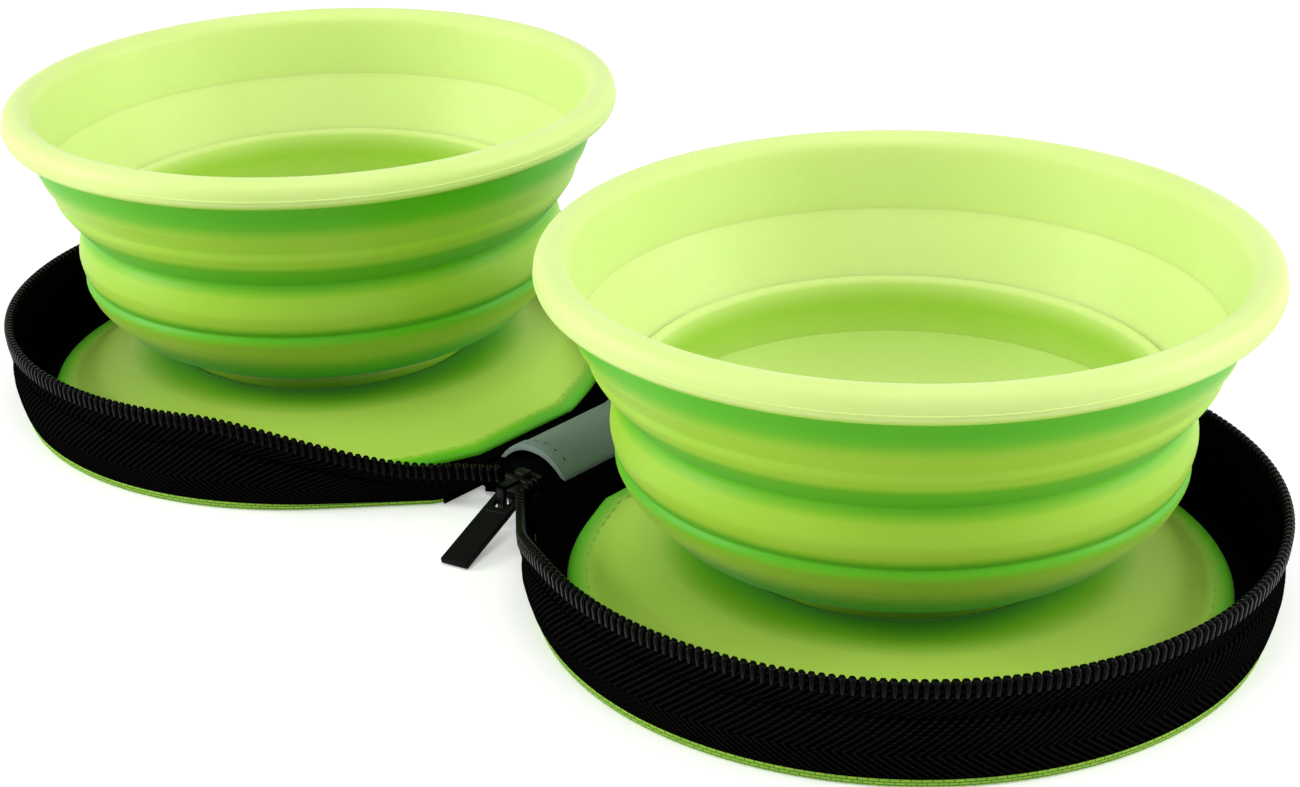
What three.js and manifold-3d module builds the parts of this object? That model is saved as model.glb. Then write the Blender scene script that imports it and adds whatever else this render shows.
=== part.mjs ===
// Double travel bowl: two collapsible silicone bowls, each standing in one half of a zip-round
// fabric case that lies open and flat. Millimetres, +Z up, the case rests on z = 0.
// The hinge runs along Y at x = 0. The halves lie at +X (right) and -X (left), and the zip
// slider is at the -Y end of the hinge.
import * as THREE from 'three';
import Module from 'manifold-3d';
import { mergeVertices } from 'three/addons/utils/BufferGeometryUtils.js';

const wasm = await Module();
wasm.setup();

// Clearance between two pieces that touch on the real object
const layerGap = 0.3;

// Bowl, from the base up
const rimRadius = 65;
const beadRadius = 3.9;
const beadStart = -1.88;
const rimWall = 2.4;
const rimFlare = 2.2;
const rimBandHeight = 14.8;
const upperFoldRise = 11.1;
const upperFoldWall = 2.3;
const bandRadius = 51.2;
const bandWall = 4.8;
const bandHeight = 10.3;
const bandCrown = 1.4;
const bandShoulder = 3.4;
const lowerFoldRise = 16.9;
const lowerFoldWall = 2.4;
const kneeRadius = 43.4;
const kneeRise = 4.2;
const ridgeHeight = 5.4;
const ridgeTaper = 2;
const footRadius = 32.5;
const footRise = 4.7;
const bowlFloor = 2.6;
const flangeWidth = 4;
const flangeThickness = 1.1;

// Layers of the case under the bowl
const panelThickness = 1;
const panelLip = 2;
const panelLipWidth = 2;
const panelEdgeRound = 1.1;
const boardThickness = 1.5;
const padThickness = 5.9;
const padEdge = 0.4;
const padInset = 5.5;
const linerThickness = 1;
const linerEdge = 1.1;
const linerMargin = 5.5;
const linerFlat = 0.8;
const linerHingeSide = 12;
const crownPower = 1.1;

// Side walls and zip
const rimClearance = 0.8;
const liningThickness = 0.8;
const liningGap = 0.5;
const wallThickness = 1.4;
const wallBelly = 0.4;
const wallTuck = 2.2;
const coilWidth = 1.9;
const coilHeight = 3.6;
const coilChamfer = 0.7;
const coilProud = 0.8;
const cornerDrop = 11.3;
const dropStart = 2;

// Hinge
const stripWidth = 18;
const foldHeight = 12.5;
const hingeLength = 59;
const hingeLean = 3;
const hingeToRim = 2.5;
const panelFabric = 1.2;
const tapeLength = 32;
const tapeThickness = 1.1;
const tapeCrown = 4.6;
const hingeSag = 6;
const gussetLength = 4.5;
const gussetCrown = 1.2;
const closingGap = 0.25;

// Zip slider and pull
const zipEndRise = 0.4;
const zipEndGap = 1.1;
const sliderX = 4.4;
const sliderZ = 6.2;
const sliderWidth = 7.6;
const sliderLength = 8.6;
const plateThickness = 1.1;
const plateGap = 2;
const neckWidth = 2.6;
const bridgeWidth = 2;
const bridgeLength = 6.4;
const bridgeBar = 1.1;
const bridgeHole = 3.4;
const linkBar = 1.2;
const linkWindow = 3.6;
const linkLength = 5.8;
const pullWidth = 6;
const pullLength = 15;
const pullThickness = 1.3;
const pullSlope = 0.26;
const pullTurn = 0.2;

// Fineness of the round shapes
const turnSteps = 36;
const outlineSteps = 40;
const wallSteps = 36;
const beadSteps = 8;
const stripSteps = 8;
const padRings = [0, 0.5, 1];
const linerRings = [0, 0.07, 0.3, 0.65, 1];
const wallRings = [0, 0.45, 1];

// Places that follow from the sizes above
const foldLine = stripWidth / 2;
const halfCentre = foldLine + hingeToRim + rimRadius;
const lipTop = panelThickness + panelLip;
const boardBottom = panelThickness + layerGap;
const boardTop = boardBottom + boardThickness;
const padBottom = boardTop + layerGap;
const padTop = padBottom + padThickness;
const bowlBottom = padTop + layerGap;
const linerHoleBottom = bowlBottom + flangeThickness + layerGap;
const linerTop = linerHoleBottom + linerThickness;
const linerHole = footRadius + layerGap;
const closingPlane = foldHeight + foldLine;
const coilTop = closingPlane - closingGap;
const wallTop = coilTop - coilHeight - layerGap;
const liningRadius = rimRadius + rimClearance;
const linerRadius = liningRadius - linerMargin;
const wallInner = liningRadius + liningThickness + liningGap;
const wallRadius = wallInner + wallThickness;
const hingeCorner = hingeLength / 2;
const lowerFoldBottom = bowlBottom + footRise + layerGap;
const bandBottom = lowerFoldBottom + lowerFoldRise + layerGap;
const upperFoldBottom = bandBottom + bandHeight + layerGap;
const rimBottom = upperFoldBottom + upperFoldRise + layerGap;

// Finishes
const finish = (color, roughness, metalness = 0) => () =>
  new THREE.MeshStandardMaterial({ color, roughness, metalness });
const silicone = finish(0xa6d040, 0.45);
const linerSheet = finish(0x9ccb33, 0.5);
const greenWeave = finish(0x7fae2a, 0.9);
const blackWeave = finish(0x151515, 0.9);
const coilNylon = finish(0x101010, 0.5);
const greyTape = finish(0x5e6e68, 0.85);
const foam = finish(0xe4e4de, 0.95);
const greyBoard = finish(0x9a958a, 0.9);
const blackMetal = finish(0x1a1a1a, 0.4, 0.8);
const blackRubber = finish(0x141414, 0.6);

// A closed solid through loops of equal count, capped at both ends or joined end to start
function loft(loops, joined = false) {
  const count = loops[0].length;
  const positions = loops.flat().flatMap((p) => [p.x, p.y, p.z]);
  const index = [];
  const rows = joined ? loops.length : loops.length - 1;
  for (let i = 0; i < rows; i++) {
    const here = i * count;
    const next = ((i + 1) % loops.length) * count;
    for (let k = 0; k < count; k++) {
      const m = (k + 1) % count;
      index.push(here + k, here + m, next + m, here + k, next + m, next + k);
    }
  }
  if (!joined) {
    const last = (loops.length - 1) * count;
    for (let k = 1; k < count - 1; k++) {
      index.push(0, k + 1, k, last, last + k, last + k + 1);
    }
  }
  const geometry = new THREE.BufferGeometry();
  geometry.setAttribute('position', new THREE.Float32BufferAttribute(positions, 3));
  geometry.setIndex(index);
  return geometry;
}

// A ring or disc turned about the bowl's axis from [radius, height] points
function turned(profile) {
  const points = [...profile, profile[0]].map(([radius, height]) => new THREE.Vector2(radius, height));
  return new THREE.LatheGeometry(points, turnSteps).rotateX(Math.PI / 2);
}

// A plate drawn in X and Z and drawn out along Y, from yStart towards +Y
function alongHinge(points, yStart, length) {
  const shape = new THREE.Shape(points.map(([x, z]) => new THREE.Vector2(x, z)));
  const geometry = new THREE.ExtrudeGeometry(shape, { depth: length, bevelEnabled: false });
  return geometry.rotateX(Math.PI / 2).translate(0, yStart + length, 0);
}

function toSolid(geometry) {
  const bare = geometry.clone();
  bare.deleteAttribute('normal');
  bare.deleteAttribute('uv');
  const merged = mergeVertices(bare, 1e-4);
  const vertProperties = new Float32Array(merged.attributes.position.array);
  const triVerts = new Uint32Array(merged.index.array);
  return new wasm.Manifold(new wasm.Mesh({ numProp: 3, vertProperties, triVerts }));
}

function toGeometry(solid) {
  const { vertProperties, triVerts } = solid.getMesh();
  const geometry = new THREE.BufferGeometry();
  geometry.setAttribute('position', new THREE.Float32BufferAttribute(vertProperties, 3));
  geometry.setIndex([...triVerts]);
  return geometry;
}

// Outline of a half, seen from above: a round whose hinge side is flat and runs out to two
// corners. The side at x = hingeX is measured from the hinge plane.
function caseOutline(radius, hingeX, corner) {
  const flat = halfCentre - hingeX;
  const cornerReach = Math.hypot(flat, corner);
  const cornerAngle = Math.PI - Math.atan2(corner, flat);
  const tangentAngle = cornerAngle - Math.acos(Math.min(1, radius / cornerReach));
  const reach = (angle) => {
    const turn = Math.abs(angle);
    if (turn <= tangentAngle) return radius;
    if (turn <= cornerAngle) return radius / Math.cos(turn - tangentAngle);
    return flat / Math.cos(Math.PI - turn);
  };
  return { reach, cornerAngle };
}

const pointAt = (angle, radius, z) =>
  new THREE.Vector3(halfCentre + radius * Math.cos(angle), radius * Math.sin(angle), z);

// One loop round a half, with its radius and height given for each direction
function loopRound(radiusAt, heightAt) {
  const loop = [];
  for (let k = 0; k < outlineSteps; k++) {
    const angle = -Math.PI + ((k + 0.5) * 2 * Math.PI) / outlineSteps;
    const radius = radiusAt(angle);
    loop.push(pointAt(angle, radius, heightAt(radius)));
  }
  return loop;
}

const hingeFoot = foldLine + hingeLean;
const footOutline = caseOutline(wallRadius - wallTuck, hingeFoot, hingeCorner);
const topOutline = caseOutline(wallRadius, foldLine + layerGap, hingeCorner);
const linerOutline = caseOutline(linerRadius, halfCentre - linerRadius + linerFlat, linerHingeSide);

// Outer bottom panel: woven fabric with its edge turned up into a lip
function basePanel() {
  const inset = (amount) => (angle) => footOutline.reach(angle) - amount;
  return loft([
    loopRound(inset(panelEdgeRound), () => 0),
    loopRound(inset(0), () => panelEdgeRound),
    loopRound(inset(0), () => lipTop),
    loopRound(inset(panelLipWidth), () => lipTop),
    loopRound(inset(panelLipWidth), () => panelThickness),
  ]);
}

// Stiffening board that lies inside the panel's lip
function baseBoard() {
  const edge = (angle) => footOutline.reach(angle) - panelLipWidth - layerGap;
  return loft([loopRound(edge, () => boardBottom), loopRound(edge, () => boardTop)]);
}

const flangeSeat = footRadius + flangeWidth + layerGap;

// Height of a layer that is flat over the bowl's flange and falls from there to its edge
function domeHeight(crown, edge, inset) {
  const span = linerRadius - inset - flangeSeat;
  return (radius) => {
    const outward = Math.max(0, radius - flangeSeat) / span;
    return Math.max(edge, crown - (crown - edge) * outward ** crownPower);
  };
}

// Radii between the liner's edge, drawn in by an inset, and the flange
const between = (share, inset) => (angle) => {
  const edge = linerOutline.reach(angle) - inset;
  return edge + (flangeSeat - edge) * share;
};

// Foam pad under the liner, flat on top where the bowl's flange lies
function foamPad() {
  const top = domeHeight(padTop, padBottom + padEdge, padInset);
  const rings = padRings.map((share) => loopRound(between(share, padInset), top));
  return loft([loopRound(between(0, padInset), () => padBottom), ...rings]);
}

// Liner: a crowned sheet over the pad, rolled down at its edge, with a round hole for the bowl
function liner() {
  const edgeTop = padBottom + linerEdge;
  const over = domeHeight(linerTop, edgeTop, 0);
  const under = domeHeight(linerHoleBottom, edgeTop - linerThickness, 0);
  const hole = () => linerHole;
  const outer = linerRings.map((share) => loopRound(between(share, 0), over));
  const inner = linerRings.map((share) => loopRound(between(share, linerThickness), under)).reverse();
  return loft([
    loopRound(between(0, 0), () => padBottom),
    ...outer,
    loopRound(hole, over),
    loopRound(hole, under),
    ...inner,
    loopRound(between(0, linerThickness), () => padBottom),
  ], true);
}

// Bowl base: a floor disc with a flange that the liner traps, and the foot of the wall
function bowlBase() {
  const wallFoot = footRadius - lowerFoldWall;
  return turned([
    [0, bowlBottom],
    [footRadius + flangeWidth, bowlBottom],
    [footRadius + flangeWidth, bowlBottom + flangeThickness],
    [footRadius, bowlBottom + flangeThickness],
    [footRadius, bowlBottom + footRise],
    [wallFoot, bowlBottom + footRise],
    [wallFoot - bowlFloor, bowlBottom + bowlFloor],
    [0, bowlBottom + bowlFloor],
  ]);
}

const bandInner = bandRadius - bandWall;

// Lower fold: the web from the foot, round a knee, to the ridge under the middle band
function lowerFold() {
  const top = lowerFoldBottom + lowerFoldRise;
  const knee = lowerFoldBottom + kneeRise;
  const bandFoot = bandRadius - bandCrown;
  return turned([
    [footRadius - lowerFoldWall, lowerFoldBottom],
    [footRadius, lowerFoldBottom],
    [kneeRadius, knee],
    [bandFoot - ridgeTaper, top - ridgeHeight],
    [bandFoot, top],
    [bandInner, top],
    [kneeRadius - lowerFoldWall, knee + lowerFoldWall / 2],
  ]);
}

// Middle band: the thick ring that bulges between the two folds
function middleBand() {
  const top = bandBottom + bandHeight;
  return turned([
    [bandInner, bandBottom],
    [bandRadius - bandCrown, bandBottom],
    [bandRadius, bandBottom + bandShoulder],
    [bandRadius, top - bandShoulder],
    [bandRadius - bandCrown, top],
    [bandInner, top],
  ]);
}

const beadCentre = rimRadius - beadRadius;
const rimOuter = beadCentre - rimFlare;
const rimInner = rimOuter - rimWall;

// Upper fold: the web from the middle band out to the ridge under the rim band
function upperFold() {
  const top = upperFoldBottom + upperFoldRise;
  const bandHead = bandRadius - bandCrown;
  return turned([
    [bandInner, upperFoldBottom],
    [bandHead, upperFoldBottom],
    [rimOuter - ridgeTaper, top - ridgeHeight],
    [rimOuter, top],
    [rimInner, top],
    [bandHead - upperFoldWall, upperFoldBottom + bandCrown],
    [bandInner, upperFoldBottom + bandCrown],
  ]);
}

// Rim band with its round bead
function rimBand() {
  const beadHeight = rimBottom + rimBandHeight - beadRadius;
  const bead = [];
  for (let k = 0; k <= beadSteps; k++) {
    const angle = beadStart + ((Math.PI - beadStart) * k) / beadSteps;
    bead.push([beadCentre + beadRadius * Math.cos(angle), beadHeight + beadRadius * Math.sin(angle)]);
  }
  return turned([[rimInner, rimBottom], [rimOuter, rimBottom], ...bead]);
}

// Height lost by the zip's top edge towards the hinge corners
function zipDrop(angle) {
  return cornerDrop * THREE.MathUtils.smoothstep(Math.abs(angle), dropStart, topOutline.cornerAngle);
}

// A band that runs round a half from one hinge corner to the other. The section gives
// [radius, height] points for each direction, outer side first, going up.
function bandRound(sectionAt) {
  const stations = [];
  for (let k = 0; k <= wallSteps; k++) {
    const angle = topOutline.cornerAngle * ((2 * k) / wallSteps - 1);
    const section = sectionAt(angle).map(([radius, height]) => pointAt(angle, radius, height));
    stations.push(section.reverse());
  }
  return loft(stations);
}

// Radius of the wall's outer face at a share of its height
function wallFace(angle, share) {
  const foot = footOutline.reach(angle);
  const top = topOutline.reach(angle);
  return foot + (top - foot) * share + wallBelly * 4 * share * (1 - share);
}

const wallBottom = lipTop + layerGap;

// Woven side wall between the bottom panel and the zip
function sideWall() {
  return bandRound((angle) => {
    const height = wallTop - zipDrop(angle) - wallBottom;
    const outer = wallRings.map((s) => [wallFace(angle, s), wallBottom + height * s]);
    const inner = outer.map(([radius, z]) => [radius - wallThickness, z]).reverse();
    return [...outer, ...inner];
  });
}

// Lining inside the side wall
function wallLining() {
  return bandRound((angle) => {
    const height = wallTop - zipDrop(angle) - wallBottom;
    const back = wallThickness + liningGap;
    const outer = wallRings.map((s) => [wallFace(angle, s) - back, wallBottom + height * s]);
    const inner = outer.map(([radius, z]) => [radius - liningThickness, z]).reverse();
    return [...outer, ...inner];
  });
}

// Zip coil along the top of the wall
function zipCoil() {
  return bandRound((angle) => {
    const bottom = wallTop + layerGap - zipDrop(angle);
    const top = bottom + coilHeight;
    const outer = topOutline.reach(angle) + coilProud;
    const inner = outer - coilWidth;
    return [
      [outer - coilChamfer, bottom],
      [outer, bottom + coilChamfer],
      [outer, top - coilChamfer],
      [outer - coilChamfer, top],
      [inner + coilChamfer, top],
      [inner, top - coilChamfer],
      [inner, bottom],
    ];
  });
}

// Leaning panel between the bottom panel and the fold line, on the hinge side of a half
function hingePanel() {
  const foot = hingeFoot;
  const head = foldLine + layerGap;
  const wallStack = wallThickness + liningGap + liningThickness + layerGap;
  const length = hingeLength - 2 * wallStack;
  const section = [
    [foot, wallBottom],
    [foot + panelFabric, wallBottom],
    [head + panelFabric, foldHeight - hingeSag],
    [head, foldHeight - hingeSag],
  ];
  return alongHinge(section, -length / 2, length);
}

// A strip between the fold lines that rises by its crown at the middle
function hingeStrip(topHeight, crown, thickness, yStart, length) {
  const half = foldLine - layerGap;
  const rise = (x) => crown * (1 - (x / half) ** 2);
  const upper = [];
  for (let k = 0; k <= stripSteps; k++) {
    const x = half - (2 * half * k) / stripSteps;
    upper.push([x, topHeight + rise(x)]);
  }
  const lower = upper.map(([x, z]) => [x, z - thickness]).reverse();
  return alongHinge([...lower, ...upper], yStart, length);
}

const stripEdge = foldHeight - hingeSag;
const spineTape = () => hingeStrip(stripEdge, tapeCrown, tapeThickness, -tapeLength / 2, tapeLength);
const gussetStart = tapeLength / 2 + layerGap;
const gussetEnd = gussetStart + gussetLength;
const gusset = (yStart) => hingeStrip(stripEdge, gussetCrown, panelFabric, yStart, gussetLength);

// Zip slider: two plates on a neck, with a bridge on the outer plate for the pull
const sliderFront = -gussetEnd - layerGap;
const outerPlateFace = sliderFront - 2 * plateThickness - plateGap;
const barY = outerPlateFace - bridgeHole / 2;
const sliderMiddle = (sliderFront + outerPlateFace) / 2;

function sliderBody() {
  const half = sliderWidth / 2;
  const neck = neckWidth / 2;
  const innerFace = sliderFront - plateThickness;
  const outerBack = innerFace - plateGap;
  const shape = new THREE.Shape([
    [-half, outerPlateFace],
    [half, outerPlateFace],
    [half, outerBack],
    [neck, outerBack],
    [neck, innerFace],
    [half, innerFace],
    [half, sliderFront],
    [-half, sliderFront],
    [-half, innerFace],
    [-neck, innerFace],
    [-neck, outerBack],
    [-half, outerBack],
  ].map(([x, y]) => new THREE.Vector2(x, y)));
  const body = new THREE.ExtrudeGeometry(shape, { depth: sliderLength, bevelEnabled: false });
  body.translate(sliderX, 0, sliderZ - sliderLength / 2);
  const depth = bridgeHole + bridgeBar;
  const root = plateThickness / 2;
  const block = new THREE.BoxGeometry(bridgeWidth, depth + root, bridgeLength);
  block.translate(sliderX, outerPlateFace - (depth - root) / 2, sliderZ);
  const hole = new THREE.BoxGeometry(bridgeWidth * 2, bridgeHole, bridgeLength - 2 * bridgeBar);
  hole.translate(sliderX, barY, sliderZ);
  return toGeometry(toSolid(body).add(toSolid(block)).subtract(toSolid(hole)));
}

// The left zip's last stretch, from the corner of its half to the slider
function leftZipEnd() {
  const radius = topOutline.reach(topOutline.cornerAngle) + coilProud - coilWidth / 2;
  const corner = pointAt(topOutline.cornerAngle, radius, coilTop - cornerDrop);
  corner.set(-corner.x, -corner.y, corner.z);
  const stopX = sliderX - sliderWidth / 2 - zipEndGap;
  const stop = new THREE.Vector3(stopX, sliderMiddle, corner.z + zipEndRise);
  const along = stop.clone().sub(corner).setZ(0).normalize();
  const across = new THREE.Vector3(-along.y, along.x, 0).multiplyScalar(coilWidth / 2);
  const start = corner.clone().addScaledVector(along, coilWidth / 2 + layerGap);
  const down = new THREE.Vector3(0, 0, -coilHeight);
  const section = (place) => [[-1, 0], [-1, 1], [1, 1], [1, 0]].map(([side, depth]) =>
    place.clone().addScaledVector(across, side).addScaledVector(down, depth));
  return loft([section(start), section(stop)]);
}

// Pull link: a flat frame whose end bar lies under the bridge. Drawn along -Y from the bar.
function pullLink() {
  const half = pullWidth / 2;
  const window = linkWindow / 2;
  const back = linkBar / 2;
  const frame = new THREE.Shape([
    new THREE.Vector2(-half, back),
    new THREE.Vector2(-half, -linkLength),
    new THREE.Vector2(half, -linkLength),
    new THREE.Vector2(half, back),
  ]);
  const windowEnd = -linkLength + linkBar;
  frame.holes.push(new THREE.Path([
    new THREE.Vector2(-window, -back),
    new THREE.Vector2(window, -back),
    new THREE.Vector2(window, windowEnd),
    new THREE.Vector2(-window, windowEnd),
  ]));
  const geometry = new THREE.ExtrudeGeometry(frame, { depth: linkBar, bevelEnabled: false });
  return geometry.translate(0, 0, -back);
}

// Pull tab: a plain flat strip with a square end
function pullTab() {
  const start = linkLength + layerGap;
  const tab = new THREE.BoxGeometry(pullWidth, pullLength, pullThickness);
  return tab.translate(0, -start - pullLength / 2, 0);
}

function piece(name, geometry, material) {
  const mesh = new THREE.Mesh(geometry, material());
  mesh.name = name;
  return mesh;
}

// One half of the case with its bowl, drawn at +X
function caseHalf(side) {
  const group = new THREE.Group();
  group.add(
    piece(`${side}_base_panel`, basePanel(), greenWeave),
    piece(`${side}_base_board`, baseBoard(), greyBoard),
    piece(`${side}_foam_pad`, foamPad(), foam),
    piece(`${side}_liner`, liner(), linerSheet),
    piece(`${side}_side_wall`, sideWall(), blackWeave),
    piece(`${side}_wall_lining`, wallLining(), blackWeave),
    piece(`${side}_zip_coil`, zipCoil(), coilNylon),
    piece(`${side}_hinge_panel`, hingePanel(), blackWeave),
  );
  const bowl = new THREE.Group();
  bowl.position.x = halfCentre;
  bowl.add(
    piece(`${side}_bowl_base`, bowlBase(), silicone),
    piece(`${side}_bowl_lower_fold`, lowerFold(), silicone),
    piece(`${side}_bowl_middle_band`, middleBand(), silicone),
    piece(`${side}_bowl_upper_fold`, upperFold(), silicone),
    piece(`${side}_bowl_rim`, rimBand(), silicone),
  );
  group.add(bowl);
  return group;
}

const travelBowl = new THREE.Group();
const rightHalf = caseHalf('right');
const leftHalf = caseHalf('left');
leftHalf.rotation.z = Math.PI;
travelBowl.add(rightHalf, leftHalf);

travelBowl.add(
  piece('spine_tape', spineTape(), greyTape),
  piece('spine_gusset_front', gusset(-gussetEnd), blackWeave),
  piece('spine_gusset_rear', gusset(gussetStart), blackWeave),
  piece('left_zip_end', leftZipEnd(), coilNylon),
  piece('zip_slider', sliderBody(), blackMetal),
);

const pull = new THREE.Group();
pull.position.set(sliderX, barY, sliderZ);
pull.rotation.set(pullSlope, 0, pullTurn, 'ZYX');
pull.add(piece('pull_link', pullLink(), blackMetal), piece('pull_tab', pullTab(), blackRubber));
travelBowl.add(pull);

export default travelBowl;
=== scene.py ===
import math
import bmesh
import bpy
from mathutils import Euler, Matrix, Vector, noise


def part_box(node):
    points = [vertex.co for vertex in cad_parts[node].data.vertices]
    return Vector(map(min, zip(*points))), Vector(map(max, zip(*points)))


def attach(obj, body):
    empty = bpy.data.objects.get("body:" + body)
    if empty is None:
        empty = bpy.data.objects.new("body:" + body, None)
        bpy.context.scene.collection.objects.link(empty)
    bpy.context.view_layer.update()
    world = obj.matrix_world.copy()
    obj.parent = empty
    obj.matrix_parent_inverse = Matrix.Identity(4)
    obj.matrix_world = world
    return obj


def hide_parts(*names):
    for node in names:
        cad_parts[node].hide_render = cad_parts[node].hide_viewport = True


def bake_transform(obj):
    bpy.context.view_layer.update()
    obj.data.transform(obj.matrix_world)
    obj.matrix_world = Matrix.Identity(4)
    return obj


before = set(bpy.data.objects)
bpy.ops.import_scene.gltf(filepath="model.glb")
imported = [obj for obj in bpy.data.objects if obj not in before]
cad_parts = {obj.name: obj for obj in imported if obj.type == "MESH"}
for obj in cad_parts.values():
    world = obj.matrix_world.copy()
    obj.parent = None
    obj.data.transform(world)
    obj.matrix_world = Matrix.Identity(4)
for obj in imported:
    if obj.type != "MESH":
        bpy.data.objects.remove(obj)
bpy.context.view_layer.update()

mm = 0.001
halfTurns = {"right": 0.0, "left": math.pi}  # the left half is the right one turned about Z


# Camera, at the photograph's viewpoint
camera = {
    "place": (292.8, -312.7, 209.4),  # mm
    "turn": 41.395,                   # degrees, from looking along +Y towards -X
    "dip": 24.21,
    "roll": -1.141,
    "lens": 64.8,                     # mm
    "sensor": 36,
}


def placeCamera():
    data = bpy.data.cameras.new("photoCamera")
    data.sensor_fit = "HORIZONTAL"
    data.sensor_width = camera["sensor"]
    data.lens = camera["lens"]
    data.clip_start = 0.01
    view = bpy.data.objects.new("photoCamera", data)
    aim = Euler((math.radians(90 - camera["dip"]), 0, math.radians(camera["turn"]))).to_matrix()
    roll = Matrix.Rotation(math.radians(camera["roll"]), 3, "Z")
    view.matrix_world = Matrix.Translation(Vector(camera["place"]) * mm) @ (aim @ roll).to_4x4()
    bpy.context.collection.objects.link(view)
    bpy.context.scene.camera = view


placeCamera()
print("camera placed")


# Colours and nodes
def linearColour(code):
    parts = [int(code[i:i + 2], 16) / 255 for i in (1, 3, 5)]
    return [p / 12.92 if p <= 0.04045 else ((p + 0.055) / 1.055) ** 2.4 for p in parts] + [1.0]


def perMetre(size):
    return 1 / (size * mm)  # how often a pattern of that size in mm repeats in a metre


def addNode(tree, kind, links=None, **settings):
    node = tree.nodes.new("ShaderNode" + kind)
    for name, value in settings.items():
        setattr(node, name, value)
    for socket, value in (links or {}).items():
        if isinstance(value, bpy.types.NodeSocket):
            tree.links.new(value, node.inputs[socket])
        else:
            node.inputs[socket].default_value = value
    return node


def startMaterial(name, colour, sockets):
    material = bpy.data.materials.new(name)
    material.use_nodes = True
    shader = material.node_tree.nodes["Principled BSDF"]
    shader.inputs["Base Color"].default_value = linearColour(colour)
    for socket, value in sockets.items():
        shader.inputs[socket].default_value = value
    return material, material.node_tree, shader


def tintBetween(tree, shader, factor, *colours):
    blend = addNode(tree, "ValToRGB", {"Fac": factor})
    stops = blend.color_ramp.elements
    for k in range(1, len(colours) - 1):
        stops.new(k / (len(colours) - 1))
    for stop, colour in zip(stops, colours):
        stop.color = linearColour(colour)
    tree.links.new(blend.outputs["Color"], shader.inputs["Base Color"])


def raiseSurface(tree, shader, height, depth, strength=1.0):
    bump = addNode(tree, "Bump", {"Height": height, "Strength": strength, "Distance": depth * mm})
    tree.links.new(bump.outputs["Normal"], shader.inputs["Normal"])


# Moulded silicone: a satin skin with faint clouding and a pale bloom, with painted shade that makes it deeper green
# where it is creased
def mouldedSilicone():
    skin = {"cloud": 28, "cloudShare": 0.1, "grain": 0.5, "grainDepth": 0.02}  # mm, and a share of the tint
    material, tree, shader = startMaterial("mouldedSilicone", "#CDE773", {
        "Roughness": 0.45, "IOR": 1.41, "Specular IOR Level": 0.35, "Subsurface Weight": 0.25,
        "Subsurface Scale": 2 * mm, "Subsurface Radius": (0.6, 1.0, 0.35), "Sheen Weight": 0.08})
    place = addNode(tree, "TexCoord").outputs["Object"]
    cloud = addNode(tree, "TexNoise", {"Vector": place, "Scale": perMetre(skin["cloud"]), "Detail": 2.0})
    # painted shade, read from the mesh: deeper in creases, under the ridges and over the outside
    creaseShade = addNode(tree, "Attribute", attribute_name="creaseShade")
    depth = addNode(tree, "Math", {0: cloud.outputs["Fac"], 1: skin["cloudShare"], 2: creaseShade.outputs["Fac"]},
                    operation="MULTIPLY_ADD")
    # the ramp runs from the silicone's own green down to the deeper greens of painted shade
    tintBetween(tree, shader, depth.outputs[0], "#DDF099", "#A6D436", "#66BE0C", "#22B210")
    grain = addNode(tree, "TexNoise", {"Vector": place, "Scale": perMetre(skin["grain"]), "Detail": 1.0})
    raiseSurface(tree, shader, grain.outputs["Fac"], skin["grainDepth"], 0.5)
    return material


# Coated nylon: a smooth green sheet whose fine plain weave hardly shows, with painted shade making it deeper green at
# its rolled edge and round the bowl's foot
def coatedNylon():
    sheet = {"cloud": 22, "cloudShare": 0.12, "weave": 0.7, "weaveDepth": 0.03}  # mm, a coarser weave than the real one
    material, tree, shader = startMaterial("coatedNylon", "#BCDE58", {
        "Roughness": 0.5, "IOR": 1.5, "Specular IOR Level": 0.3, "Sheen Weight": 0.08})
    place = addNode(tree, "TexCoord").outputs["Object"]
    cloud = addNode(tree, "TexNoise", {"Vector": place, "Scale": perMetre(sheet["cloud"]), "Detail": 3.0})
    # painted shade, read from the mesh: deeper at the rolled edge and round the bowl's foot
    creaseShade = addNode(tree, "Attribute", attribute_name="creaseShade")
    depth = addNode(tree, "Math", {0: cloud.outputs["Fac"], 1: sheet["cloudShare"], 2: creaseShade.outputs["Fac"]},
                    operation="MULTIPLY_ADD")
    # the ramp runs from the sheet's own green down to the deeper greens of painted shade
    tintBetween(tree, shader, depth.outputs[0], "#C2E45A", "#84CA14", "#22B210")
    weave = addNode(tree, "TexVoronoi", {"Vector": place, "Scale": perMetre(sheet["weave"])})
    raiseSurface(tree, shader, weave.outputs["Distance"], sheet["weaveDepth"], 0.35)
    return material


# Polyester thread: pale green, a soft sheen along each stitch
def polyesterThread(name, colour):
    return startMaterial(name, colour, {"Roughness": 0.55, "Sheen Weight": 0.2})[0]


# Woven polyester, plain weave: square threads that show as a fine check
def plainWeave(name, dark, pale, thread, depth, sockets):
    material, tree, shader = startMaterial(name, dark, sockets)
    place = addNode(tree, "TexCoord").outputs["Object"]
    scale = perMetre(thread) * math.pi / 10  # a wave of scale 1 repeats every pi / 10
    warp, weft, rise = [addNode(tree, "TexWave", {"Vector": place, "Scale": scale}, bands_direction=axis)
                        for axis in ("X", "Y", "Z")]
    check = addNode(tree, "Math", {0: warp.outputs["Fac"], 1: weft.outputs["Fac"]}, operation="MULTIPLY")
    cloth = addNode(tree, "Math", {0: check.outputs[0], 1: rise.outputs["Fac"]}, operation="ADD")
    tintBetween(tree, shader, cloth.outputs[0], dark, pale)
    raiseSurface(tree, shader, cloth.outputs[0], depth)
    return material


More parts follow.
